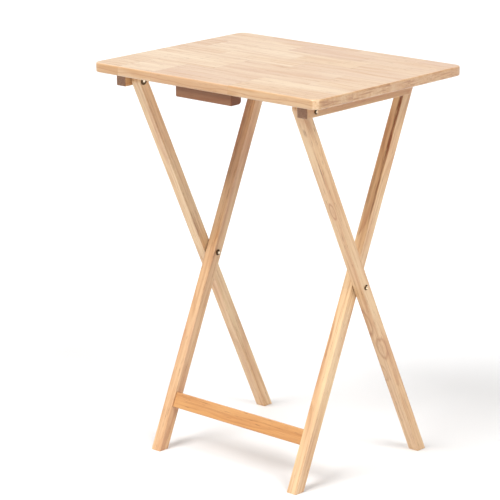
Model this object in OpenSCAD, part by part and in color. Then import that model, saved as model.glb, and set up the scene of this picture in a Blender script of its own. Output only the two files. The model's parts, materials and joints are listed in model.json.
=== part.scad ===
// Folding tray table: a wooden top on two crossed pairs of legs.
// Origin on the floor under the top's centre, +X along the long side, +Y to the back, +Z up.
// The outer legs carry the top at its front edge, and the inner frame's rail holds it at the back.

/* [Top] */
// Length of the top, left to right
top_l = 480; // [380:5:700]
// Depth of the top, front to back
top_d = 360; // [290:5:480]
// Thickness of the top
top_t = 16; // [13:0.5:22]
// Height of the top's upper face above the floor
top_h = 658; // [540:1:800]
// Radius of the top's corners, seen from above
top_corner_r = 15; // [8:1:40]
// Radius that eases the top's edges
top_edge_r = 3; // [1:0.5:5]

/* [Cleats] */
// Thickness of a cleat, left to right
cleat_t = 20; // [16:0.5:26]
// Length of a cleat, front to back
cleat_l = 255; // [210:1:270]
// How far a cleat hangs below the top
cleat_drop = 21; // [18:0.5:30]
// From the end of the top to a cleat's outer face
cleat_in_side = 35.5; // [20:0.5:60]
// From the top's front edge to a cleat's front end
cleat_in_front = 19.5; // [8:0.5:26]
// Radius of the cleat's rear outer corner
cleat_nose_r = 6.5; // [3:0.5:10]

/* [Legs] */
// Width of a leg, seen from the side
leg_w = 18; // [14:0.5:24]
// Thickness of a leg, left to right
leg_t = 19; // [16:0.5:26]
// Radius on the long edges of the legs, rails and blocks
arris_r = 1.6; // [0.8:0.1:3]
// Gap for the washer between two pieces that turn on a bolt
spacer_t = 2; // [1.5:0.1:4]
// From the top's front edge to the top pivot
pivot_in = 41; // [38:1:60]
// Room between an outer leg's round end and the top
pivot_clear = 3; // [1.5:0.5:6]
// From the top's rear edge to the top rail's centre
rail_in = 33.6; // [32:0.2:60]
// From the top pivot to the cross bolt, along the outer leg
cross_reach = 346.4; // [280:0.2:420]

/* [Inner frame] */
// Diameter of the round top rail
rail_d = 18; // [14:0.5:22]
// Height of the lower stretcher's section, along the leg
stretcher_w = 26; // [20:0.5:40]
// Thickness of the lower stretcher
stretcher_t = 15; // [12:0.5:18]
// Height of the stretcher's centre line above the floor
stretcher_h = 80; // [50:1:160]
// Diameter of the stretcher's dowels
dowel_d = 6; // [5:0.5:8]
// Diameter of the top rail's dowels
rail_dowel_d = 8; // [6:0.5:10]
// Depth of a dowel in each of the two pieces it joins
dowel_depth = 12; // [8:0.5:13]

/* [Blocks under the top] */
// Length of each block
block_l = 120; // [80:1:180]
// Depth of the front catch block
catch_d = 23.4; // [16:0.2:24]
// Depth of the rear latch block
latch_d = 19; // [14:0.5:22]
// How far both blocks hang below the top
block_drop = 18.6; // [14:0.2:24]
// Radius on the catch block's lower rear edge
catch_round_r = 6; // [3:0.5:8]

/* [Hardware] */
// Diameter of the bolts
bolt_d = 6; // [5:0.5:8]
// Diameter of the bolts' domed heads
head_d = 9; // [8:0.5:14]
// Height of the bolts' domed heads
head_h = 2.6; // [2:0.1:4]
// Outer diameter of the washers
washer_d = 15; // [12:0.5:17]
// Diameter of the domed nuts on the cross bolts
cap_nut_d = 10; // [9:0.5:14]
// Diameter of the barrel nuts in the outer legs
barrel_d = 8; // [7.5:0.1:10]
// Length of the barrel nuts inside the leg
barrel_l = 12; // [6:0.5:14]
// Diameter of a barrel nut's flange
flange_d = 13; // [11:0.5:16]
// Thickness of a barrel nut's flange
flange_t = 1; // [0.6:0.1:1.2]
// Diameter of the wood screws
screw_d = 4; // [3:0.5:5]
// Diameter of the wood screws' countersunk heads
screw_head_d = 8; // [7:0.5:10]
// How far the wood screws go into the top
screw_bite = 10; // [6:0.5:12]

/* [Clearances] */
// Radial clearance of pins in their holes
fit = 0.05; // [0.02:0.01:0.1]
// Gap between flat faces that turn on each other
face_gap = 0.1; // [0.05:0.05:0.3]
// Gap between the top rail and the top
rail_gap = 0.4; // [0.3:0.1:1]
// Gap between the top rail and a block it comes up to
block_gap = 0.6; // [0.5:0.1:1.5]
// How much nearer the cross bolt the rail is than the top pivot
rail_lead = 0.6; // [0.3:0.1:1.5]

/* [Hidden] */
$fn = 64;
sides = [-1, 1];
under_z = top_h - top_t;

// Faces across the width, from the outside in, on the right-hand side
cleat_x = top_l / 2 - cleat_in_side;
outer_leg_x = cleat_x - cleat_t - spacer_t;
inner_leg_x = outer_leg_x - leg_t - spacer_t;
frame_x = inner_leg_x - leg_t;

// Axes in the side plane, each as [y, z]
pivot = [-top_d / 2 + pivot_in, under_z - leg_w / 2 - pivot_clear];
rail = [top_d / 2 - rail_in, under_z - rail_d / 2 - rail_gap];
// The cross bolt is cross_reach from the pivot and a little less from the rail
span = norm(rail - pivot);
rail_dir = (rail - pivot) / span;
rail_reach = cross_reach - rail_lead;
cross_along = (cross_reach ^ 2 - rail_reach ^ 2 + span ^ 2) / (2 * span);
cross_down = sqrt(cross_reach ^ 2 - cross_along ^ 2);
cross = pivot + cross_along * rail_dir + cross_down * [rail_dir[1], -rail_dir[0]];
outer_angle = atan2(cross[0] - pivot[0], pivot[1] - cross[1]);
inner_angle = atan2(rail[0] - cross[0], rail[1] - cross[1]);
stretcher_reach = (cross[1] - stretcher_h) / cos(inner_angle);
// Centre of an inner leg's round end, which comes as near the top as the rail does
inner_end_z = under_z - leg_w / 2 - rail_gap;
inner_end = [rail[0] + (inner_end_z - rail[1]) * tan(inner_angle), inner_end_z];

catch_back_y = pivot[0] - rail_d / 2 - block_gap;
latch_front_y = rail[0] + rail_d / 2 + block_gap;
cleat_front_y = -top_d / 2 + cleat_in_front;
cleat_mid_x = cleat_x - cleat_t / 2;
// Places of the cleats' screws along a cleat, from its front end
cleat_screws_at = [55, cleat_l - 45];
block_screw_x = block_l / 2 - 20;
// Depth and width of the cross recess in a screw's head
recess_depth = 1.2;
recess_w = 1;
// Length past the floor before a foot is cut level
foot_spare = 40;
// Height of the domed nuts, and how deep a bolt goes into one
cap_nut_h = 3.4;
cap_nut_bite = 1.7;
// Round socket in the middle of a bolt's head
socket_d = 2.5;
socket_depth = 1.2;
// Spare depth past the end of a dowel, screw or barrel in its hole
end_room = 0.5;

wood = [0.925, 0.80, 0.62];
end_wood = [0.90, 0.76, 0.56];
dowel_wood = [0.86, 0.72, 0.52];
steel = [0.74, 0.75, 0.77];

// Rectangle with rounded corners, centred
module rounded_rect(w, h, r) {
    square([w, h - 2 * r], center = true);
    square([w - 2 * r, h], center = true);
    for (i = sides, j = sides)
        translate([i * (w / 2 - r), j * (h / 2 - r)]) circle(r);
}

// Rod along +X from x0 to x1 at [y, z]
module rod_x(x0, x1, at, d) {
    translate([x0, at[0], at[1]]) rotate([0, 90, 0]) cylinder(d = d, h = x1 - x0);
}

// Puts a right-hand piece on the side that is asked for
module on_side(side) {
    mirror([side < 0 ? 1 : 0, 0, 0]) children();
}

// Slab with round corners and eased edges, centred in plan, from z = 0 up
module eased_slab(l, d, t, corner, edge) {
    translate([0, 0, t / 2]) {
        cube([l - 2 * corner, d, t - 2 * edge], center = true);
        cube([l, d - 2 * corner, t - 2 * edge], center = true);
        cube([l - 2 * corner, d - 2 * edge, t], center = true);
        cube([l - 2 * edge, d - 2 * corner, t], center = true);
        for (i = sides, k = sides) {
            translate([0, i * (d / 2 - edge), k * (t / 2 - edge)]) rotate([0, 90, 0])
                cylinder(r = edge, h = l - 2 * corner, center = true);
            translate([i * (l / 2 - edge), 0, k * (t / 2 - edge)]) rotate([90, 0, 0])
                cylinder(r = edge, h = d - 2 * corner, center = true);
        }
        for (i = sides, j = sides)
            translate([i * (l / 2 - corner), j * (d / 2 - corner), 0]) eased_disc(corner, t, edge);
    }
}

// Disc with eased rims, centred on its middle
module eased_disc(r, t, edge) {
    rotate_extrude() intersection() {
        rounded_rect(2 * r, t, edge);
        translate([0, -t / 2]) square([r, t]);
    }
}

// Countersunk wood screw with its head down at z = 0 and its tip up
module wood_screw(l) {
    head_h = (screw_head_d - screw_d) / 2;
    difference() {
        union() {
            cylinder(d1 = screw_head_d, d2 = screw_d, h = head_h);
            cylinder(d = screw_d, h = l - screw_d);
            translate([0, 0, l - screw_d]) cylinder(d1 = screw_d, d2 = 0.6, h = screw_d);
        }
        for (a = [0, 90]) rotate([0, 0, a])
            cube([screw_head_d / 2, recess_w, 2 * recess_depth], center = true);
    }
}

// Hole for such a screw
module screw_hole(l) {
    head_h = (screw_head_d - screw_d) / 2;
    translate([0, 0, -0.01]) {
        cylinder(d1 = screw_head_d + 2 * fit + 0.02, d2 = screw_d + 2 * fit, h = head_h + fit);
        cylinder(d = screw_d + 2 * fit, h = l + end_room);
    }
}

module at_cleat_screws(side) {
    for (s = cleat_screws_at)
        translate([side * cleat_mid_x, cleat_front_y + s, under_z - cleat_drop]) children();
}

module at_block_screws(y) {
    for (i = sides) translate([i * block_screw_x, y, under_z - block_drop]) children();
}

catch_mid_y = catch_back_y - catch_d / 2;
latch_mid_y = latch_front_y + latch_d / 2;
cleat_screw_l = cleat_drop + screw_bite;
block_screw_l = block_drop + screw_bite;

module tabletop() {
    color(wood) difference() {
        translate([0, 0, under_z]) eased_slab(top_l, top_d, top_t, top_corner_r, top_edge_r);
        for (side = sides) at_cleat_screws(side) screw_hole(cleat_screw_l);
        at_block_screws(catch_mid_y) screw_hole(block_screw_l);
        at_block_screws(latch_mid_y) screw_hole(block_screw_l);
    }
}

module cleat(side) {
    color(wood) on_side(side) difference() {
        translate([cleat_mid_x, cleat_front_y + cleat_l / 2, under_z - cleat_drop])
            linear_extrude(cleat_drop) intersection() {
                rounded_rect(cleat_t, cleat_l, arris_r);
                union() {
                    translate([-cleat_t / 2, -cleat_l / 2]) square([cleat_t, cleat_l - cleat_nose_r]);
                    translate([-cleat_t / 2, -cleat_l / 2]) square([cleat_t - cleat_nose_r, cleat_l]);
                    translate([cleat_t / 2 - cleat_nose_r, cleat_l / 2 - cleat_nose_r]) circle(cleat_nose_r);
                }
            }
        rod_x(0, cleat_x + 1, pivot, bolt_d + 2 * fit);
        at_cleat_screws(1) screw_hole(cleat_screw_l);
    }
}

module cleat_screws() {
    color(steel) for (side = sides) at_cleat_screws(side) wood_screw(cleat_screw_l);
}

module front_catch_block() {
    color(wood) difference() {
        translate([-block_l / 2, catch_mid_y, under_z - block_drop / 2])
            rotate([90, 0, 90]) linear_extrude(block_l) intersection() {
                rounded_rect(catch_d, block_drop, arris_r);
                union() {
                    translate([-catch_d / 2, -block_drop / 2]) square([catch_d - catch_round_r, block_drop]);
                    translate([-catch_d / 2, catch_round_r - block_drop / 2])
                        square([catch_d, block_drop - catch_round_r]);
                    translate([catch_d / 2 - catch_round_r, catch_round_r - block_drop / 2])
                        circle(catch_round_r);
                }
            }
        at_block_screws(catch_mid_y) screw_hole(block_screw_l);
    }
}

module front_catch_screws() {
    color(steel) at_block_screws(catch_mid_y) wood_screw(block_screw_l);
}

module rear_latch_block() {
    color(wood) difference() {
        translate([-block_l / 2, latch_mid_y, under_z - block_drop / 2])
            rotate([90, 0, 90]) linear_extrude(block_l) rounded_rect(latch_d, block_drop, arris_r);
        at_block_screws(latch_mid_y) screw_hole(block_screw_l);
    }
}

module rear_latch_screws() {
    color(steel) at_block_screws(latch_mid_y) wood_screw(block_screw_l);
}

// Leg from x_in outwards, round at its top end and level at the floor
module leg(x_in, end, angle) {
    reach = end[1] / cos(angle) + foot_spare;
    difference() {
        translate([x_in + leg_t / 2, end[0], end[1]]) rotate([angle, 0, 0]) {
            translate([0, 0, -reach]) linear_extrude(reach) rounded_rect(leg_t, leg_w, arris_r);
            rotate([0, 90, 0]) eased_disc(leg_w / 2, leg_t, arris_r);
        }
        translate([x_in - 1, -top_h, -2 * foot_spare]) cube([leg_t + 2, 2 * top_h, 2 * foot_spare]);
    }
}

module outer_leg(side) {
    color(wood) on_side(side) difference() {
        leg(outer_leg_x - leg_t, pivot, outer_angle);
        rod_x(0, outer_leg_x + 1, pivot, bolt_d + 2 * fit);
        rod_x(0, outer_leg_x - leg_t + barrel_l + end_room, pivot, barrel_d + 2 * fit);
        rod_x(0, outer_leg_x + 1, cross, bolt_d + 2 * fit);
    }
}

module inner_leg(side) {
    color(wood) on_side(side) difference() {
        leg(frame_x, inner_end, -inner_angle);
        rod_x(0, inner_leg_x + 1, cross, bolt_d + 2 * fit);
        rod_x(0, frame_x + dowel_depth + end_room, rail, rail_dowel_d + 2 * fit);
        stretcher_dowel_rods(frame_x - 1, frame_x + dowel_depth + end_room, dowel_d + 2 * fit);
    }
}

// Carries its children to the stretcher's centre line, leaning with the inner legs
module at_stretcher() {
    translate([0, cross[0], cross[1]]) rotate([-inner_angle, 0, 0])
        translate([0, 0, -stretcher_reach]) children();
}

module stretcher_dowel_rods(x0, x1, d) {
    at_stretcher() for (k = sides) rod_x(x0, x1, [0, k * stretcher_w / 4], d);
}

module lower_stretcher() {
    color(wood) difference() {
        at_stretcher() translate([-frame_x, 0, 0]) rotate([90, 0, 90])
            linear_extrude(2 * frame_x) rounded_rect(stretcher_t, stretcher_w, arris_r);
        for (side = sides) on_side(side)
            stretcher_dowel_rods(frame_x - dowel_depth - end_room, frame_x + 1, dowel_d + 2 * fit);
    }
}

module stretcher_dowels() {
    color(dowel_wood) for (side = sides) on_side(side)
        stretcher_dowel_rods(frame_x - dowel_depth, frame_x + dowel_depth, dowel_d);
}

module top_rail() {
    color(end_wood) difference() {
        rod_x(-frame_x, frame_x, rail, rail_d);
        for (side = sides) on_side(side)
            rod_x(frame_x - dowel_depth - end_room, frame_x + 1, rail, rail_dowel_d + 2 * fit);
    }
}

module rail_dowels() {
    color(dowel_wood) for (side = sides) on_side(side)
        rod_x(frame_x - dowel_depth, frame_x + dowel_depth, rail, rail_dowel_d);
}

// Domed head or nut standing on the plane x = 0 and rising towards +X
module dome(d, h) {
    ball_r = (d ^ 2 / 4 + h ^ 2) / (2 * h);
    rotate([0, 90, 0]) rotate_extrude() intersection() {
        translate([0, h - ball_r]) circle(ball_r);
        square([d, 2 * h]);
    }
}

// Bolt on the axis at, from its tip at x0 to the underside of its head at x1
module bolt(x0, x1, at) {
    color(steel) difference() {
        union() {
            rod_x(x0, x1 + head_h / 4, at, bolt_d);
            translate([x1, at[0], at[1]]) dome(head_d, head_h);
        }
        rod_x(x1 + head_h - socket_depth, x1 + 2 * head_h, at, socket_d);
    }
}

module washer(x1, at) {
    color(steel) difference() {
        rod_x(x1 - spacer_t + face_gap, x1 - face_gap, at, washer_d);
        rod_x(x1 - spacer_t, x1, at, bolt_d + 2 * fit);
    }
}

module cross_bolt(side) {
    on_side(side) bolt(frame_x - face_gap - cap_nut_bite, outer_leg_x, cross);
}

module cross_washer(side) {
    on_side(side) washer(inner_leg_x + spacer_t, cross);
}

module cross_nut(side) {
    color(steel) on_side(side) difference() {
        translate([frame_x - face_gap, cross[0], cross[1]]) mirror([1, 0, 0]) dome(cap_nut_d, cap_nut_h);
        rod_x(frame_x - face_gap - cap_nut_bite - fit, frame_x, cross, bolt_d + 2 * fit);
    }
}

module pivot_bolt(side) {
    on_side(side) bolt(outer_leg_x - leg_t + 1, cleat_x + face_gap, pivot);
}

module pivot_washer(side) {
    on_side(side) washer(outer_leg_x + spacer_t, pivot);
}

module pivot_nut(side) {
    nut_x = outer_leg_x - leg_t - face_gap;
    color(steel) on_side(side) difference() {
        union() {
            rod_x(nut_x - flange_t, nut_x, pivot, flange_d);
            rod_x(nut_x - flange_t, nut_x + barrel_l, pivot, barrel_d);
        }
        rod_x(nut_x + face_gap, nut_x + barrel_l + 1, pivot, bolt_d + 2 * fit);
    }
}

tabletop();
cleat(-1);  // cleat_left
cleat(1);  // cleat_right
cleat_screws();
front_catch_block();
front_catch_screws();
rear_latch_block();
rear_latch_screws();
outer_leg(-1);  // outer_leg_left
outer_leg(1);  // outer_leg_right
inner_leg(-1);  // inner_leg_left
inner_leg(1);  // inner_leg_right
lower_stretcher();
stretcher_dowels();
top_rail();
rail_dowels();
cross_bolt(-1);  // cross_bolt_left
cross_bolt(1);  // cross_bolt_right
cross_washer(-1);  // cross_washer_left
cross_washer(1);  // cross_washer_right
cross_nut(-1);  // cross_nut_left
cross_nut(1);  // cross_nut_right
pivot_bolt(-1);  // pivot_bolt_left
pivot_bolt(1);  // pivot_bolt_right
pivot_washer(-1);  // pivot_washer_left
pivot_washer(1);  // pivot_washer_right
pivot_nut(-1);  // pivot_nut_left
pivot_nut(1);  // pivot_nut_right
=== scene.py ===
import json
import math

import bpy
from mathutils import Matrix, Vector


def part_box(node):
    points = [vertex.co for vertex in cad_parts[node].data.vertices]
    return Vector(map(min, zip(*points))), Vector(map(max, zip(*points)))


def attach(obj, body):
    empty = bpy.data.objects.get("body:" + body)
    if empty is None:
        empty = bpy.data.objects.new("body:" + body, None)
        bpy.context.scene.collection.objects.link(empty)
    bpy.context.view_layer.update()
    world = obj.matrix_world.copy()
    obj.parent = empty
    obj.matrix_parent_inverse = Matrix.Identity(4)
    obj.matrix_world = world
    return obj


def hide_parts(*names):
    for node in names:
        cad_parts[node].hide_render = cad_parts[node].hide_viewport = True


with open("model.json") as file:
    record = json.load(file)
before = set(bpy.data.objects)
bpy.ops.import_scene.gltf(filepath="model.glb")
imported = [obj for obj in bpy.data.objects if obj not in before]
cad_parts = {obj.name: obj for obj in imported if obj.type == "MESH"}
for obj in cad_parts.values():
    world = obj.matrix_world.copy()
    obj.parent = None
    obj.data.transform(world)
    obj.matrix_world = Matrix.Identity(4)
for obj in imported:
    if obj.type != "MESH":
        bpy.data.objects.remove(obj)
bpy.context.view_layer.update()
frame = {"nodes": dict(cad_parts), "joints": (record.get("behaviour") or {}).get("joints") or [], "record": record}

# folding tray table: a staved wooden top on crossed legs, with its hinge bolts
bodyOf = {node: body for body, nodes in frame["record"]["behaviour"]["bodies"].items() for node in nodes}
joints = {joint["name"]: joint for joint in frame["joints"]}
mm = 0.001

pivot = Vector(joints["top_lift"]["pos_m"])  # axis of the two top hinges
cross = Vector(joints["leg_fold"]["pos_m"])  # axis of the two crossing bolts
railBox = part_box("top_rail")
rail = (railBox[0] + railBox[1]) / 2
outerTurn = math.atan2(cross.y - pivot.y, pivot.z - cross.z)  # lean of the outer legs
innerTurn = -math.atan2(rail.y - cross.y, rail.z - cross.z)  # lean of the inner legs

print("frame loaded")


def pickNone():
    if bpy.context.object and bpy.context.object.mode != "OBJECT":
        bpy.ops.object.mode_set(mode="OBJECT")
    bpy.ops.object.select_all(action="DESELECT")


def pickOnly(obj):
    pickNone()
    obj.select_set(True)
    bpy.context.view_layer.objects.active = obj


def pickEdges(obj, test):  # leaves obj in edit mode with the edges that pass the test picked
    pickOnly(obj)
    bpy.ops.object.mode_set(mode="EDIT")
    bpy.ops.mesh.select_mode(type="EDGE")
    bpy.ops.mesh.select_all(action="DESELECT")
    bpy.ops.object.mode_set(mode="OBJECT")
    points = obj.data.vertices
    for edge in obj.data.edges:
        edge.select = test(points[edge.vertices[0]].co, points[edge.vertices[1]].co)
    bpy.ops.object.mode_set(mode="EDIT")


def pickFaces(obj, test):  # the same for faces, by their middle and normal
    pickOnly(obj)
    bpy.ops.object.mode_set(mode="EDIT")
    bpy.ops.mesh.select_mode(type="FACE")
    bpy.ops.mesh.select_all(action="DESELECT")
    bpy.ops.object.mode_set(mode="OBJECT")
    for face in obj.data.polygons:
        face.select = test(face.center, face.normal)
    bpy.ops.object.mode_set(mode="EDIT")


def leaveEdit():
    bpy.ops.object.mode_set(mode="OBJECT")


def settle(obj):  # puts the place and turn into the mesh
    pickOnly(obj)
    bpy.ops.object.transform_apply(location=True, rotation=True, scale=True)


def newBlock(low, high):
    pickNone()
    bpy.ops.mesh.primitive_cube_add(size=1, location=(Vector(low) + Vector(high)) / 2)
    obj = bpy.context.object
    obj.scale = Vector(high) - Vector(low)
    settle(obj)
    return obj


def useModifier(obj, kind, settings):
    pickOnly(obj)
    modifier = obj.modifiers.new(kind.lower(), kind)
    for key, value in settings.items():
        setattr(modifier, key, value)
    bpy.ops.object.modifier_apply(modifier=modifier.name)


def easeEdges(obj, width, segments=3, angle=35):
    useModifier(obj, "BEVEL", {"width": width, "segments": segments, "limit_method": "ANGLE",
                               "angle_limit": math.radians(angle), "harden_normals": False})


def roundEdges(obj, test, width, segments):
    pickEdges(obj, test)
    bpy.ops.mesh.bevel(offset=width, segments=segments, affect="EDGES", clamp_overlap=True)
    leaveEdit()


def cutAway(obj, cutter):
    useModifier(obj, "BOOLEAN", {"operation": "DIFFERENCE", "object": cutter, "solver": "EXACT"})
    bpy.data.objects.remove(cutter)


def boreX(obj, centre, radius, length):  # round hole along X
    pickNone()
    bpy.ops.mesh.primitive_cylinder_add(vertices=40, radius=radius, depth=length, location=centre,
                                        rotation=(0, math.pi / 2, 0))
    cutter = bpy.context.object
    settle(cutter)
    cutAway(obj, cutter)


def finishShape(obj, angle=32):  # smooth over the rounded edges, and keeps the flats flat
    pickOnly(obj)
    bpy.ops.object.shade_smooth_by_angle(angle=math.radians(angle))
    useModifier(obj, "WEIGHTED_NORMAL", {"mode": "FACE_AREA", "weight": 50, "keep_sharp": True})


def copyPiece(obj):  # the same shape again, with a mesh of its own
    pickOnly(obj)
    bpy.ops.object.duplicate(linked=False)
    return bpy.context.object


def outwards(obj):  # turns every face of a closed shape to the outside
    pickFaces(obj, lambda middle, normal: True)
    bpy.ops.mesh.normals_make_consistent(inside=False)
    leaveEdit()


def settlePiece(obj, node, material, name=None):
    settle(obj)
    first, *others = node.split("_")
    obj.name = name or first + "".join(word.title() for word in others)
    obj.data.name = obj.name
    obj.data.materials.clear()
    obj.data.materials.append(material)
    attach(obj, bodyOf[node])
    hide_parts(node)


class Num:  # a number or colour on its way through a material
    def __init__(self, paint, socket):
        self.paint = paint
        self.socket = socket

    def calc(self, operation, *values):
        return self.paint.node("ShaderNodeMath", {"operation": operation}, dict(enumerate(values)))

    def __add__(self, other):
        return self.calc("ADD", self, other)

    def __radd__(self, other):
        return self.calc("ADD", other, self)

    def __sub__(self, other):
        return self.calc("SUBTRACT", self, other)

    def __rsub__(self, other):
        return self.calc("SUBTRACT", other, self)

    def __mul__(self, other):
        return self.calc("MULTIPLY", self, other)

    def __rmul__(self, other):
        return self.calc("MULTIPLY", other, self)

    def __truediv__(self, other):
        return self.calc("DIVIDE", self, other)

    def __pow__(self, other):
        return self.calc("POWER", self, other)

    def __abs__(self):
        return self.calc("ABSOLUTE", self)

    def fraction(self):
        return self.calc("FRACT", self)

    def most(self, other):
        return self.calc("MAXIMUM", self, other)


class Paint:  # the nodes of one material, or of the studio round the table
    def __init__(self, owner):
        self.owner = owner
        owner.use_nodes = True
        self.tree = owner.node_tree
        self.tree.nodes.clear()

    def node(self, kind, settings=None, inputs=None, out=0):
        made = self.tree.nodes.new(kind)
        for key, value in (settings or {}).items():
            if key == "stops":
                for at, (place, colour) in enumerate(value):
                    stop = made.color_ramp.elements[at] if at < 2 else made.color_ramp.elements.new(place)
                    stop.position = place
                    stop.color = (*colour, 1)
            else:
                setattr(made, key, value)
        for key, value in (inputs or {}).items():
            if isinstance(value, Num):
                self.tree.links.new(value.socket, made.inputs[key])
            else:
                made.inputs[key].default_value = value
        return Num(self, made.outputs[out]) if made.outputs else None

    def place(self, centre, turn):  # object coordinates centred on a piece and turned along it
        coords = self.node("ShaderNodeTexCoord", out=3)
        return self.node("ShaderNodeMapping", {"vector_type": "TEXTURE"},
                         {"Vector": coords, "Location": centre, "Rotation": turn})

    def stretch(self, vector, scale, shift=(0, 0, 0)):
        return self.node("ShaderNodeVectorMath", {"operation": "MULTIPLY_ADD"},
                         {0: vector, 1: scale, 2: shift})

    def shifted(self, vector, other):
        return self.node("ShaderNodeVectorMath", {"operation": "ADD"}, {0: vector, 1: other})

    def parts(self, vector):
        split = self.node("ShaderNodeSeparateXYZ", None, {"Vector": vector})
        outputs = split.socket.node.outputs
        return [Num(self, outputs[axis]) for axis in range(3)]

    def noise(self, vector, detail=2, rough=0.5):
        return self.node("ShaderNodeTexNoise", {"noise_dimensions": "3D"},
                         {"Vector": vector, "Scale": 1, "Detail": detail, "Roughness": rough})

    def soft(self, value, low, high):  # 0 below low, 1 above high, smooth between
        return self.node("ShaderNodeMapRange", {"interpolation_type": "SMOOTHSTEP"},
                         {"Value": value, "From Min": low, "From Max": high})

    def mix(self, factor, first, second):
        return self.node("ShaderNodeMix", {"data_type": "RGBA"}, {0: factor, 6: first, 7: second}, out=2)

    def bump(self, height, strength, distance):
        return self.node("ShaderNodeBump", None,
                         {"Height": height, "Strength": strength, "Distance": distance})

    def finish(self, inputs):
        shader = self.node("ShaderNodeBsdfPrincipled", None, inputs)
        self.node("ShaderNodeOutputMaterial", None, {"Surface": shader})
        return self.owner


def newPaint(name):
    return Paint(bpy.data.materials.new(name))


def tint(red, green, blue, alpha=1):  # screen colour, 0 to 255, as light
    linear = [((v / 255 + 0.055) / 1.055) ** 2.4 if v > 10 else v / 255 / 12.92 for v in (red, green, blue)]
    return (*linear, alpha)


woodLook = {
    "pale": tint(229, 198, 156),
    "warm": tint(214, 172, 124),
    "rose": tint(198, 146, 110),
    "ring": tint(182, 124, 82),
    "pore": tint(120, 72, 42),
    "endGrain": tint(132, 84, 52),
    "stain": tint(120, 58, 26),
    "curl": tint(172, 112, 72),
    "roughness": 0.40,
    "coat": 0.30,
    "coatRoughness": 0.22,
    "ringGap": 7 * mm,
    "heart": (31 * mm, 24 * mm),  # centre of the growth rings, off to one side of the stick
    "endDepth": 0.8 * mm,
}


def woodGrain(paint, local, seeded, look, warmth, rose):
    # local runs along the grain in x; seeded is the same with a shift of its own for each stick
    along, across, through = paint.parts(local)
    wander = paint.noise(paint.stretch(seeded, (5, 26, 26)), 2, 0.5)
    cloud = paint.noise(paint.stretch(seeded, (4, 34, 34)), 3, 0.55)
    patch = paint.noise(paint.stretch(seeded, (7, 60, 60), (3, 1, 8)), 2, 0.5)
    streaks = paint.noise(paint.stretch(seeded, (7, 230, 230)), 4, 0.62)
    fibre = paint.noise(paint.stretch(seeded, (22, 1300, 1300)), 2, 0.55)
    dashes = paint.noise(paint.stretch(seeded, (55, 900, 900), (5, 9, 2)), 1, 0.5)

    offV = across - look["heart"][0]
    offW = through - look["heart"][1]
    fromHeart = (offV * offV + offW * offW) ** 0.5
    radius = fromHeart + along * 0.02 + (wander - 0.5) * (34 * mm) + streaks * (1.2 * mm)
    layer = (radius / look["ringGap"]).fraction()
    lateWood = paint.soft(layer, 0.30, 0.90) * (1 - paint.soft(layer, 0.93, 1.0))
    figure = lateWood * paint.soft(cloud, 0.40, 0.66)

    colour = paint.mix(paint.soft(cloud, 0.34, 0.66) * 0.75 + warmth, look["pale"], look["warm"])
    colour = paint.mix(paint.soft(patch, 0.45, 0.75) * 0.45 + rose, colour, look["rose"])
    colour = paint.mix(figure * 0.55, colour, look["ring"])
    colour = paint.mix(paint.soft(streaks, 0.45, 0.70) * 0.52, colour, look["ring"])
    colour = paint.mix(paint.soft(fibre, 0.52, 0.78) * 0.36, colour, look["ring"])
    poreMask = paint.soft(dashes, 0.64, 0.72) * paint.soft(streaks, 0.38, 0.58)
    colour = paint.mix(poreMask * 0.62, colour, look["pore"])
    height = fibre * 0.3 - poreMask - paint.soft(streaks, 0.46, 0.72) * 0.25
    return colour, height, poreMask, figure


def woodMaterial(name, centre, turn, seed, warmth=0.0, rose=0.0, dark=0.0, halfLength=None,
                 marks=(), loops=(), look=None):
    look = {**woodLook, **(look or {})}
    paint = newPaint(name)
    local = paint.place(centre, turn)
    seeded = paint.shifted(local, (seed * 3.71, seed * 1.93, seed * 2.57))
    colour, height, poreMask, _ = woodGrain(paint, local, seeded, look, warmth, rose)
    along, across, through = paint.parts(local)
    # the whole piece is mixed toward the endGrain colour; on the two blocks this darkening is painted shade from
    # under the top
    if dark > 0:
        colour = paint.mix(dark, colour, look["endGrain"])
    if halfLength:  # darker, thirstier wood where the stick is cut across
        cut = paint.soft(abs(along), halfLength - 2 * look["endDepth"], halfLength - look["endDepth"])
        dots = paint.noise(paint.stretch(seeded, (60, 1100, 1100)), 3, 0.65)
        colour = paint.mix(cut * (0.60 + 0.35 * paint.soft(dots, 0.42, 0.62)), colour, look["endGrain"])
    for start, end, sideways, outward, radius, sway, strength in marks:  # a dark vein along the stick; a wide one is painted shade
        wave = paint.noise(paint.stretch(local, (22, 60, 60), (start * 90, 2, 7)), 2, 0.5)
        offV = across - sideways * mm
        offW = through - outward * mm + (wave - 0.5) * (sway * mm)
        line = 1 - paint.soft((offV * offV + offW * offW) ** 0.5, radius * 0.25 * mm, radius * mm)
        fade = min(40 * mm, (end - start) * 0.4)
        reach = paint.soft(along, start, start + fade) * (1 - paint.soft(along, end - fade, end))
        gaps = paint.noise(paint.stretch(local, (45, 520, 520), (1, start * 50, 4)), 3, 0.6)
        broken = paint.soft(gaps, 0.34, 0.56)
        colour = paint.mix(line * reach * (0.30 + 0.70 * broken) * strength, colour, look["stain"])
    for middle, sideways, outward, halfLong, halfWide, strength in loops:  # grain curled round a small knot
        curl = paint.noise(paint.stretch(local, (38, 110, 110), (middle * 60, 3, 1)), 2, 0.5)
        offLong = (along - middle) / (halfLong * mm)
        offV = (across - sideways * mm) / (halfWide * mm)
        offW = (through - outward * mm) / (halfWide * mm)
        ring = (offLong * offLong + offV * offV + offW * offW) ** 0.5 + (curl - 0.5) * 0.6
        line = (1 - paint.soft(abs(ring - 1), 0.0, 0.34)).most((1 - paint.soft(ring, 0.1, 0.9)) * 0.35)
        colour = paint.mix(line * strength * 0.8, colour, look["curl"])
    return paint.finish({
        "Base Color": colour,
        "Roughness": poreMask * 0.15 + look["roughness"],
        "Coat Weight": look["coat"],
        "Coat Roughness": look["coatRoughness"],
        "Normal": paint.bump(height, 0.25, 0.2 * mm),
    })


def alongLeg(lean):  # turns the grain down a leg
    return (Matrix.Rotation(lean, 3, "X") @ Matrix.Rotation(math.radians(-90), 3, "Y")).to_euler()


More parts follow.
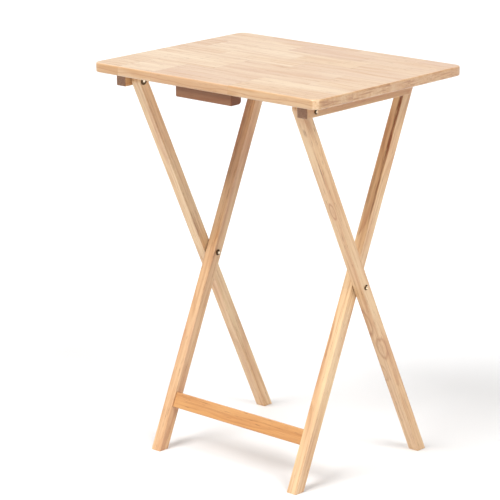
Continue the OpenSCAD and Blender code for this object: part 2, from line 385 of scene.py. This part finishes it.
panel = {
    "cornerRadius": 15 * mm,
    "cornerSteps": 12,
    "edgeRadius": 3 * mm,
    "edgeSteps": 5,
    # rows of staves from the front: width, butt joints along x, then warmth and rose of each stave; the two back
    # rows are warmer and rosier, painted shade toward the back of the top
    "rows": [
        (85 * mm, (-181 * mm, -107 * mm, 60 * mm), ((0.3, 0.1), (0.0, 0.0), (0.1, 0.55), (0.25, 0.0))),
        (89 * mm, (-52 * mm, 150 * mm), ((0.0, 0.0), (0.1, 0.35), (0.2, 0.1))),
        (50 * mm, (-130 * mm, 36 * mm), ((0.1, 0.1), (0.0, 0.0), (0.1, 0.45))),
        (54 * mm, (-196 * mm, -8 * mm, 118 * mm), ((0.2, 0.4), (0.0, 0.1), (0.3, 0.0), (0.0, 0.25))),
        (50 * mm, (-62 * mm, 92 * mm), ((0.15, 0.2), (0.15, 0.7), (0.35, 0.35))),
        (40 * mm, (-160 * mm, 34 * mm, 170 * mm), ((0.45, 0.2), (0.3, 0.5), (0.25, 0.4), (0.4, 0.8))),
    ],
    "jointLine": 0.4 * mm,
    "edgeFade": (2.2 * mm, 0.6 * mm),  # from the edge, where its darker wood begins and is full
    "look": {
        "pale": tint(235, 209, 174),
        "warm": tint(224, 190, 148),
        "rose": tint(212, 174, 142),
        "ring": tint(200, 148, 102),
        "edge": tint(184, 136, 86),
        "cutRing": tint(170, 116, 70),
        "ringGap": 11 * mm,
        "heart": (70 * mm, -38 * mm),
        "roughness": 0.36,
        "coat": 0.6,
        "coatRoughness": 0.20,
    },
}


def staveRows():  # front, back and every cut of each row, ends included
    low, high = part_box("tabletop")
    rows = []
    front = low.y
    for width, cuts, toneAndShade in panel["rows"]:
        back = min(front + width, high.y)
        rows.append((front, back, (low.x, *cuts, high.x), toneAndShade))
        front = back
    return rows


def makePanel():
    low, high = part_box("tabletop")
    obj = newBlock(low, high)
    roundEdges(obj, lambda a, b: abs(a.z - b.z) > 5 * mm, panel["cornerRadius"],
               panel["cornerSteps"])
    easeEdges(obj, panel["edgeRadius"], panel["edgeSteps"], 40)
    rows = staveRows()
    for front, back, cuts, _ in rows:
        if back < high.y:
            pickFaces(obj, lambda middle, normal: True)
            bpy.ops.mesh.bisect(plane_co=(0, back, 0), plane_no=(0, 1, 0))
            leaveEdit()
    for front, back, cuts, _ in rows:
        for cut in cuts[1:-1]:
            pickFaces(obj, lambda middle, normal: front - 0.1 * mm < middle.y < back + 0.1 * mm)
            bpy.ops.mesh.bisect(plane_co=(cut, 0, 0), plane_no=(1, 0, 0))
            leaveEdit()
    # each face carries its stave's tone, with the painted shade of the two back rows
    toneAndShade = obj.data.color_attributes.new("stave", "FLOAT_COLOR", "CORNER")
    for face in obj.data.polygons:
        row = max(i for i in range(len(rows)) if i == 0 or face.center.y > rows[i][0])
        stave = sum(1 for cut in rows[row][2][1:-1] if face.center.x > cut)
        warmth, rose = rows[row][3][stave]
        chance = (row * 0.618 + stave * 0.377) % 1
        for corner in face.loop_indices:
            toneAndShade.data[corner].color = (chance, warmth, rose, 1)
    finishShape(obj, 40)
    settlePiece(obj, "tabletop", panelMaterial(rows), "panelTop")
    return obj


def panelMaterial(rows):
    look = {**woodLook, **panel["look"]}
    paint = newPaint("panelWood")
    low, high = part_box("tabletop")
    middle = (low + high) / 2
    local = paint.place(middle, (0, 0, 0))
    stave = paint.node("ShaderNodeAttribute", {"attribute_name": "stave"}, None, out=1)
    chance, warmth, rose = paint.parts(stave)
    spread = paint.node("ShaderNodeCombineXYZ", None, {0: chance * 9.1, 1: chance * 1.7, 2: chance * 0.9})
    seeded = paint.shifted(local, spread)
    # each stave is sawn from its own place in the tree
    fromTree = {0: 0.0, 1: (chance - 0.5) * 0.16, 2: (chance * 7.0).fraction() * 0.03}
    sawn = paint.shifted(local, paint.node("ShaderNodeCombineXYZ", None, fromTree))
    colour, height, poreMask, figure = woodGrain(paint, sawn, seeded, look, warmth, rose)
    along, across, through = paint.parts(local)
    half = panel["jointLine"]
    lines = None
    for front, back, cuts, _ in rows:
        inRow = paint.soft(across, front - middle.y - half, front - middle.y) * (
            1 - paint.soft(across, back - middle.y, back - middle.y + half))
        for cut in cuts[1:-1]:
            line = inRow * (1 - paint.soft(abs(along - (cut - middle.x)), 0, half))
            lines = line if lines is None else lines.most(line)
        if back < high.y:
            lines = lines.most(1 - paint.soft(abs(across - (back - middle.y)), 0, half))
    colour = paint.mix(lines * 0.55, colour, look["pore"])
    halfLength = (high.x - low.x) / 2
    halfWidth = (high.y - low.y) / 2
    begin, full = panel["edgeFade"]
    sides = paint.soft(abs(across), halfWidth - begin, halfWidth - full)
    colour = paint.mix(sides * (0.58 + figure * 0.4), colour, look["edge"])
    sway = paint.noise(paint.stretch(local, (7, 0, 0), (0.4, 2, 5)), 2, 0.55)
    vein = 1 - paint.soft(abs(through + mm - (sway - 0.5) * (22 * mm)), 0.2 * mm, 1.3 * mm)
    colour = paint.mix(vein * sides * 0.5, colour, look["cutRing"])
    cut = paint.soft(abs(along), halfLength - begin, halfLength - full)
    bands = paint.noise(paint.stretch(seeded, (20, 34, 420)), 3, 0.6)
    specks = paint.noise(paint.stretch(seeded, (60, 500, 1400)), 2, 0.5)
    colour = paint.mix(cut * 0.5, colour, look["edge"])
    colour = paint.mix(cut * 0.6 * paint.soft(bands, 0.46, 0.62), colour, look["cutRing"])
    pores = 0.34 * paint.soft(bands, 0.56, 0.70) + 0.16 * paint.soft(specks, 0.5, 0.7)
    colour = paint.mix(cut * pores, colour, look["endGrain"])
    return paint.finish({
        "Base Color": colour,
        "Roughness": poreMask * 0.12 + look["roughness"],
        "Coat Weight": look["coat"],
        "Coat Roughness": look["coatRoughness"],
        "Normal": paint.bump(height - lines * 2, 0.18, 0.2 * mm),
    })


makePanel()
print("panel made")


legs = {
    "width": 18 * mm,
    "arris": 1.6 * mm,
    "roundSteps": 9,  # on a leg's round end
    "boltHole": 3.05 * mm,
    "spare": 60 * mm,  # length below the floor, cut off level with it
}


def makeLeg(node, top, turn, bores):
    low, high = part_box(node)
    width = legs["width"]
    middleX = (low.x + high.x) / 2
    halfX = (high.x - low.x) / 2
    reach = top.z / math.cos(turn) + legs["spare"]
    obj = newBlock((-halfX, -width / 2, -reach), (halfX, width / 2, width / 2))
    roundEdges(obj, lambda a, b: a.z > 0 and b.z > 0 and abs(a.y - b.y) < 1e-6, width / 2 * 0.999,
               legs["roundSteps"])
    obj.rotation_euler = (turn, 0, 0)
    obj.location = (middleX, top.y, top.z)
    settle(obj)
    pickFaces(obj, lambda middle, normal: True)
    bpy.ops.mesh.bisect(plane_co=(0, 0, 0), plane_no=(0, 0, 1), use_fill=True, clear_inner=True)
    leaveEdit()
    easeEdges(obj, legs["arris"], 4, 40)
    for centre in bores:
        boreX(obj, (middleX, centre.y, centre.z), legs["boltHole"], 3 * halfX)
    finishShape(obj)
    return obj


def legMaterial(node, top, turn, facts):
    low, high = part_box(node)
    reach = top.z / math.cos(turn)
    centre = Vector(((low.x + high.x) / 2, top.y + math.sin(turn) * reach / 2, top.z / 2))
    return woodMaterial(node + "Wood", centre, alongLeg(turn), **facts)


# marks: start and end in metres up the leg from its middle, then in mm the place in the section, radius and sway
# loops: middle in metres up the leg, then in mm the place in the section, half length and half width
# the last number of each is its strength
legPieces = {
    "outer_leg_left": {"seed": 1.3, "marks": ((0.02, 0.09, -7, -9, 4, 6, 0.35),)},
    "outer_leg_right": {"seed": 2.9, "warmth": 0.08, "rose": 0.05, "marks": (
        (0.298, 0.318, -9, -1, 4, 3, 0.6), (0.20, 0.28, -9, -7, 1.6, 4, 0.7),
        (-0.27, -0.215, 0, -9.5, 2, 12, 0.35)), "loops": (
        (0.158, -9, -3, 15, 4.5, 0.8), (-0.070, -9, 8, 24, 10, 0.75), (-0.122, -9, -8, 20, 9, 0.7),
        (-0.175, -9, 8, 16, 8, 0.5))},
    # the wide mark on this leg's upper front is painted shade under the top
    "inner_leg_left": {"seed": 4.1, "warmth": 0.08, "rose": 0.22, "marks": (
        (0.10, 0.36, -9, 4, 9, 8, 0.40),)},
    # this leg's third mark, wide and faint on its upper front, is painted shade under the top; the others are
    # stains
    "inner_leg_right": {"seed": 5.7, "warmth": 0.05, "marks": (
        (0.18, 0.38, -9, -5.5, 4.5, 5, 0.95), (0.08, 0.24, -9, -7, 2.5, 5, 0.7),
        (0.10, 0.30, -9, 4, 5, 8, 0.25), (-0.16, -0.05, -9, 6, 2.5, 4, 0.4))},
}
for kind, top, turn, bores in (("outer_leg", pivot, outerTurn, (cross, pivot)),
                               ("inner_leg", rail, innerTurn, (cross,))):
    rightLeg = makeLeg(kind + "_right", top, turn, bores)
    leftLeg = copyPiece(rightLeg)
    leftLeg.location.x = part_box(kind + "_left")[0].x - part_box(kind + "_right")[0].x
    for leg, node in ((rightLeg, kind + "_right"), (leftLeg, kind + "_left")):
        settlePiece(leg, node, legMaterial(node, top, turn, legPieces[node]))
print("legs made")


blocks = {"noseRadius": 6.5 * mm, "catchRadius": 6 * mm, "arris": 1.6 * mm,
          "cleatLook": {"pale": tint(216, 180, 134), "warm": tint(206, 162, 112), "rose": tint(190, 140, 98),
                        "endGrain": tint(104, 60, 34)},
          # this look's endGrain colour is also the blocks' painted shade
          "look": {"endGrain": tint(108, 56, 24), "coat": 0.05, "roughness": 0.5}}

def makeCleat():  # the right one
    low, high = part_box("cleat_right")
    obj = newBlock(low, high)
    roundEdges(obj, lambda a, b: abs(a.z - b.z) > mm and abs(a.x - high.x) < 1e-5 and a.y > 0 and b.y > 0,
               blocks["noseRadius"], 8)
    easeEdges(obj, blocks["arris"], 3, 40)
    boreX(obj, ((low.x + high.x) / 2, pivot.y, pivot.z), legs["boltHole"], 3 * (high.x - low.x))
    return obj


rightCleat = makeCleat()
leftCleat = copyPiece(rightCleat)
leftCleat.scale.x = -1
settle(leftCleat)
outwards(leftCleat)
for cleat, node, seed in ((rightCleat, "cleat_right", 8.7), (leftCleat, "cleat_left", 6.7)):
    low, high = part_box(node)
    finishShape(cleat)
    material = woodMaterial(node + "Wood", (low + high) / 2, (0, 0, math.radians(90)), seed,
                            halfLength=(high.y - low.y) / 2, warmth=0.25, rose=0.15, look=blocks["cleatLook"])
    settlePiece(cleat, node, material)

for node, radius, seed in (("front_catch_block", blocks["catchRadius"], 9.1), ("rear_latch_block", 0, 9.9)):
    low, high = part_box(node)
    obj = newBlock(low, high)
    middleY = (low.y + high.y) / 2
    if radius:  # the lower rear edge
        roundEdges(obj, lambda a, b: abs(a.x - b.x) > mm and min(a.y, b.y) > middleY
                   and max(a.z, b.z) < low.z + mm, radius, 8)
    easeEdges(obj, blocks["arris"], 3, 40)
    finishShape(obj)
    # the dark mix below makes each block dark brown all over: painted shade from under the top
    material = woodMaterial(node + "Wood", (low + high) / 2, (0, 0, 0), seed, halfLength=(high.x - low.x) / 2,
                            warmth=0.4, rose=0.2, dark=0.8, look=blocks["look"])
    settlePiece(obj, node, material)
print("cleats and blocks made")


stretcher = {
    "width": 26 * mm,
    "thickness": 15 * mm,
    "arris": 1.6 * mm,
    "look": {
        "pale": tint(210, 162, 108),
        "warm": tint(202, 146, 88),
        "rose": tint(188, 130, 78),
        "ring": tint(166, 104, 56),
    },
}
railFacts = {"sides": 64, "arris": 0.4 * mm}


def makeStretcher():
    low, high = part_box("lower_stretcher")
    middle = (low + high) / 2
    halfX = (high.x - low.x) / 2
    size = Vector((halfX, stretcher["thickness"] / 2, stretcher["width"] / 2))
    obj = newBlock(-size, size)
    easeEdges(obj, stretcher["arris"], 3, 40)
    obj.rotation_euler = (innerTurn, 0, 0)
    obj.location = middle
    settle(obj)
    finishShape(obj)
    material = woodMaterial("stretcherWood", middle, (innerTurn, 0, 0), 11.3, warmth=0.5,
                            look=stretcher["look"])
    settlePiece(obj, "lower_stretcher", material)


def makeRail():
    low, high = railBox
    radius = (high.z - low.z) / 2
    pickNone()
    bpy.ops.mesh.primitive_cylinder_add(vertices=railFacts["sides"], radius=radius, depth=high.x - low.x,
                                        location=rail, rotation=(0, math.pi / 2, 0))
    obj = bpy.context.object
    settle(obj)
    easeEdges(obj, railFacts["arris"], 2, 40)
    finishShape(obj)
    settlePiece(obj, "top_rail", woodMaterial("railWood", rail, (0, 0, 0), 12.1, warmth=0.2))


makeStretcher()
makeRail()
print("stretcher and rail made")


hardware = {
    "sides": 40,
    "domeSteps": 9,
    "chamfer": 0.5 * mm,
    "headRadius": 4.5 * mm,
    "headHeight": 2.6 * mm,
    "headRim": 0.4 * mm,
    "crownRadius": 1.75 * mm,  # the flat round the socket
    "socketAcross": 2.5 * mm,
    "socketDepth": 1.2 * mm,
    "shankRadius": 3 * mm,
    "washerHole": 3.05 * mm,
    "washerEdge": 0.3 * mm,
    "capRim": 0.7 * mm,
    "flange": mm,
    "barrelRadius": 4 * mm,
    "bolt": tint(88, 68, 48),
    "screw": tint(190, 182, 156),
    "dull": tint(70, 58, 46),
    # the cream crown colour below is a painted highlight on each bolt head
    "worn": tint(244, 226, 200),
    "highlightRadius": 2.6 * mm,
}


def metalMaterial(name, colour, roughness, axis=None):
    paint = newPaint(name)
    coords = paint.place(axis or (0, 0, 0), (0, 0, 0))
    cloud = paint.noise(paint.stretch(coords, (900, 900, 900)), 3, 0.6)
    scratch = paint.noise(paint.stretch(coords, (3000, 400, 6000)), 2, 0.6)
    shaded = paint.mix(paint.soft(cloud, 0.45, 0.8) * 0.35, colour, hardware["dull"])
    if axis:  # painted highlight: the crown of a head is painted bright
        _, across, up = paint.parts(coords)
        off = (across * across + up * up) ** 0.5 + (cloud - 0.5) * (0.6 * mm)
        rim = paint.soft(off, hardware["highlightRadius"] * 0.75, hardware["highlightRadius"])
        shaded = paint.mix(rim, hardware["worn"], shaded)
    return paint.finish({
        "Base Color": shaded,
        "Metallic": 1.0,
        "Roughness": roughness + 0.14 * paint.soft(cloud, 0.4, 0.7),
        "Normal": paint.bump(scratch, 0.08, 0.02 * mm),
    })


boltMetals = {"cross": metalMaterial("crossBoltMetal", hardware["bolt"], 0.16, cross),
              "pivot": metalMaterial("pivotBoltMetal", hardware["bolt"], 0.16, pivot)}
screwMetal = metalMaterial("screwMetal", hardware["screw"], 0.26)


def turned(outline):  # round piece along +X, from (radius, x) points; starts and ends flat
    pickNone()
    radius, height = outline[0]
    bpy.ops.mesh.primitive_circle_add(vertices=hardware["sides"], radius=radius, fill_type="NGON",
                                      location=(0, 0, height))
    obj = bpy.context.object
    settle(obj)
    pickFaces(obj, lambda middle, normal: True)
    for nextRadius, nextHeight in outline[1:]:
        bpy.ops.mesh.extrude_region_move(TRANSFORM_OT_translate={"value": (0, 0, nextHeight - height)})
        factor = nextRadius / radius
        bpy.ops.transform.resize(value=(factor, factor, 1), center_override=(0, 0, nextHeight))
        radius, height = nextRadius, nextHeight
    leaveEdit()
    outwards(obj)
    obj.rotation_euler = (0, math.pi / 2, 0)
    settle(obj)
    return obj


def domeOutline(radius, height, crown, steps, rim):  # from the rim up to a flat crown at full height
    rise = height - rim
    centre = (radius ** 2 - crown ** 2 - rise ** 2) / (2 * rise)  # depth of the ball's middle below the rim
    ball = (radius ** 2 + centre ** 2) ** 0.5
    start, end = math.asin(radius / ball), math.asin(crown / ball)
    points = []
    for step in range(steps + 1):
        angle = start + (end - start) * step / steps
        points.append((ball * math.sin(angle), rim - centre + ball * math.cos(angle)))
    return points


def boltShape(length):  # head outwards, its seat at 0, with a six-sided socket
    radius, height, depth = hardware["headRadius"], hardware["headHeight"], hardware["socketDepth"]
    shank, chamfer = hardware["shankRadius"], hardware["chamfer"]
    end = height - length
    outline = [(shank - chamfer, end), (shank, end + chamfer), (shank, 0), (radius - 0.15 * mm, 0)]
    crown, rim = hardware["crownRadius"], hardware["headRim"]
    obj = turned(outline + domeOutline(radius, height, crown, hardware["domeSteps"], rim))
    corners = hardware["socketAcross"] / 2 / math.cos(math.pi / 6)
    bpy.ops.mesh.primitive_cylinder_add(vertices=6, radius=corners, depth=2 * depth, location=(height, 0, 0),
                                        rotation=(0, math.pi / 2, 0))
    socket = bpy.context.object
    settle(socket)
    cutAway(obj, socket)
    return obj


def washerShape(length, radius):
    edge = hardware["washerEdge"]
    obj = turned([(radius - edge, 0), (radius, edge), (radius, length - edge), (radius - edge, length)])
    pickFaces(obj, lambda middle, normal: abs(normal.x) > 0.9)
    bpy.ops.mesh.inset(thickness=radius - edge - hardware["washerHole"])
    bpy.ops.mesh.bridge_edge_loops()
    leaveEdit()
    outwards(obj)
    return obj


def capNutShape(length, radius):
    edge = hardware["washerEdge"]
    crown = hardware["chamfer"]
    dome = domeOutline(radius, length, crown, hardware["domeSteps"], hardware["capRim"])
    return turned([(radius - edge, 0), (radius, edge)] + dome)


def barrelNutShape(length, radius):  # flat flange at 0, then the barrel that goes into the leg
    barrel, flange, chamfer = hardware["barrelRadius"], hardware["flange"], hardware["chamfer"]
    return turned([(radius - chamfer, 0), (radius, chamfer), (radius, flange), (barrel, flange),
                   (barrel, length - chamfer), (barrel - chamfer, length)])


def makePair(kind, right, axis, seat, facing=1):  # one on each side of the table, the left one a copy
    left = copyPiece(right)
    for obj, side, node in ((right, 1, kind + "_right"), (left, -1, kind + "_left")):
        obj.rotation_euler = (0, 0, 0 if side * facing > 0 else math.pi)
        obj.location = (side * seat, axis.y, axis.z)
        settle(obj)
        finishShape(obj, 28)
        settlePiece(obj, node, boltMetals[kind.split("_")[0]])


for place, axis in (("cross", cross), ("pivot", pivot)):
    low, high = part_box(place + "_bolt_right")
    makePair(place + "_bolt", boltShape(high.x - low.x), axis, high.x - hardware["headHeight"])
    low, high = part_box(place + "_washer_right")
    makePair(place + "_washer", washerShape(high.x - low.x, (high.z - low.z) / 2), axis, low.x)
low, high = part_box("cross_nut_right")
makePair("cross_nut", capNutShape(high.x - low.x, (high.z - low.z) / 2), cross, high.x, -1)
low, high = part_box("pivot_nut_right")
makePair("pivot_nut", barrelNutShape(high.x - low.x, (high.z - low.z) / 2), pivot, low.x)
print("bolts, washers and nuts made")

dowelWood = woodMaterial("dowelWood", (0, 0, 0), (0, 0, 0), 14.2, dark=0.4)
for node in ("stretcher_dowels", "rail_dowels"):
    frame["nodes"][node].data.materials.clear()
    frame["nodes"][node].data.materials.append(dowelWood)
for node in ("cleat_screws", "front_catch_screws", "rear_latch_screws"):
    frame["nodes"][node].data.materials.clear()
    frame["nodes"][node].data.materials.append(screwMetal)


stage = {
    "floorHalf": 14,
    "floorDrop": 0.3 * mm,  # a hair below the feet
    "floorShade": 0.88,
    "ambient": 0.24,
    "sheen": 0.70,  # how bright the studio looks in the lacquer
    "wall": 1.0,
    # where each light stands, in degrees round from the front and up, its strength and its softness
    "lights": {
        "key": (-8, 52, 2.3, 30),
        "rightBox": (78, 44, 1.5, 26),
        "leftBox": (-85, 55, 0.5, 50),
        "overhead": (0, 88, 0.42, 60),
    },
}


def makeFloor():
    pickNone()
    bpy.ops.mesh.primitive_plane_add(size=2 * stage["floorHalf"], location=(0, 0, -stage["floorDrop"]))
    floor = bpy.context.object
    floor.name = "floor"
    paint = newPaint("floorPaint")
    shade = stage["floorShade"]
    floor.data.materials.append(paint.finish({"Base Color": (shade, shade, shade, 1), "Roughness": 0.9,
                                              "Specular IOR Level": 0.1}))


def softLight(name, around, above, strength, softness):
    pickNone()
    bpy.ops.object.light_add(type="SUN", location=(0, 0, 3))
    lamp = bpy.context.object
    lamp.name = name
    lamp.data.energy = strength
    lamp.data.angle = math.radians(softness)
    around, above = math.radians(around), math.radians(above)
    back = Vector((math.sin(around) * math.cos(above), -math.cos(around) * math.cos(above), math.sin(above)))
    lamp.rotation_euler = back.to_track_quat("Z", "Y").to_euler()


makeFloor()
for name, facts in stage["lights"].items():
    softLight(name, *facts)

studio = Paint(bpy.data.worlds.new("studio"))
seen = studio.node("ShaderNodeLightPath")  # the wall behind the floor
inLacquer = studio.node("ShaderNodeLightPath", out=3)  # the walls as the lacquer and the bolts mirror them
walls = studio.node("ShaderNodeBackground", None, {
    "Color": (1, 1, 1, 1), "Strength": inLacquer * (stage["sheen"] - stage["ambient"])
    + seen * (stage["wall"] - stage["ambient"]) + stage["ambient"]})
studio.node("ShaderNodeOutputWorld", None, {"Surface": walls})
bpy.context.scene.world = studio.owner
bpy.context.scene.view_settings.view_transform = "Standard"
bpy.context.scene.view_settings.look = "None"

view = {
    "around": 42.57,  # degrees from the front, towards the right
    "above": 15.44,
    "distance": 3.8296,
    "aimedAt": Vector((-0.0335, -0.0308, 0.3475)),
    "roll": -0.57,
    "lens": 167.8,
}


def makeCamera():
    around, above = math.radians(view["around"]), math.radians(view["above"])
    back = Vector((math.sin(around) * math.cos(above), -math.cos(around) * math.cos(above), math.sin(above)))
    data = bpy.data.cameras.new("camera")
    camera = bpy.data.objects.new("camera", data)
    bpy.context.scene.collection.objects.link(camera)
    camera.location = view["aimedAt"] + back * view["distance"]
    turn = (-back).to_track_quat("-Z", "Y").to_matrix()
    spin = turn @ Vector((0, 0, 1))
    camera.rotation_euler = (Matrix.Rotation(math.radians(view["roll"]), 3, spin) @ turn).to_euler()
    data.lens = view["lens"]
    data.sensor_width = 36
    data.clip_end = 100
    bpy.context.scene.camera = camera


makeCamera()
print("stage set")
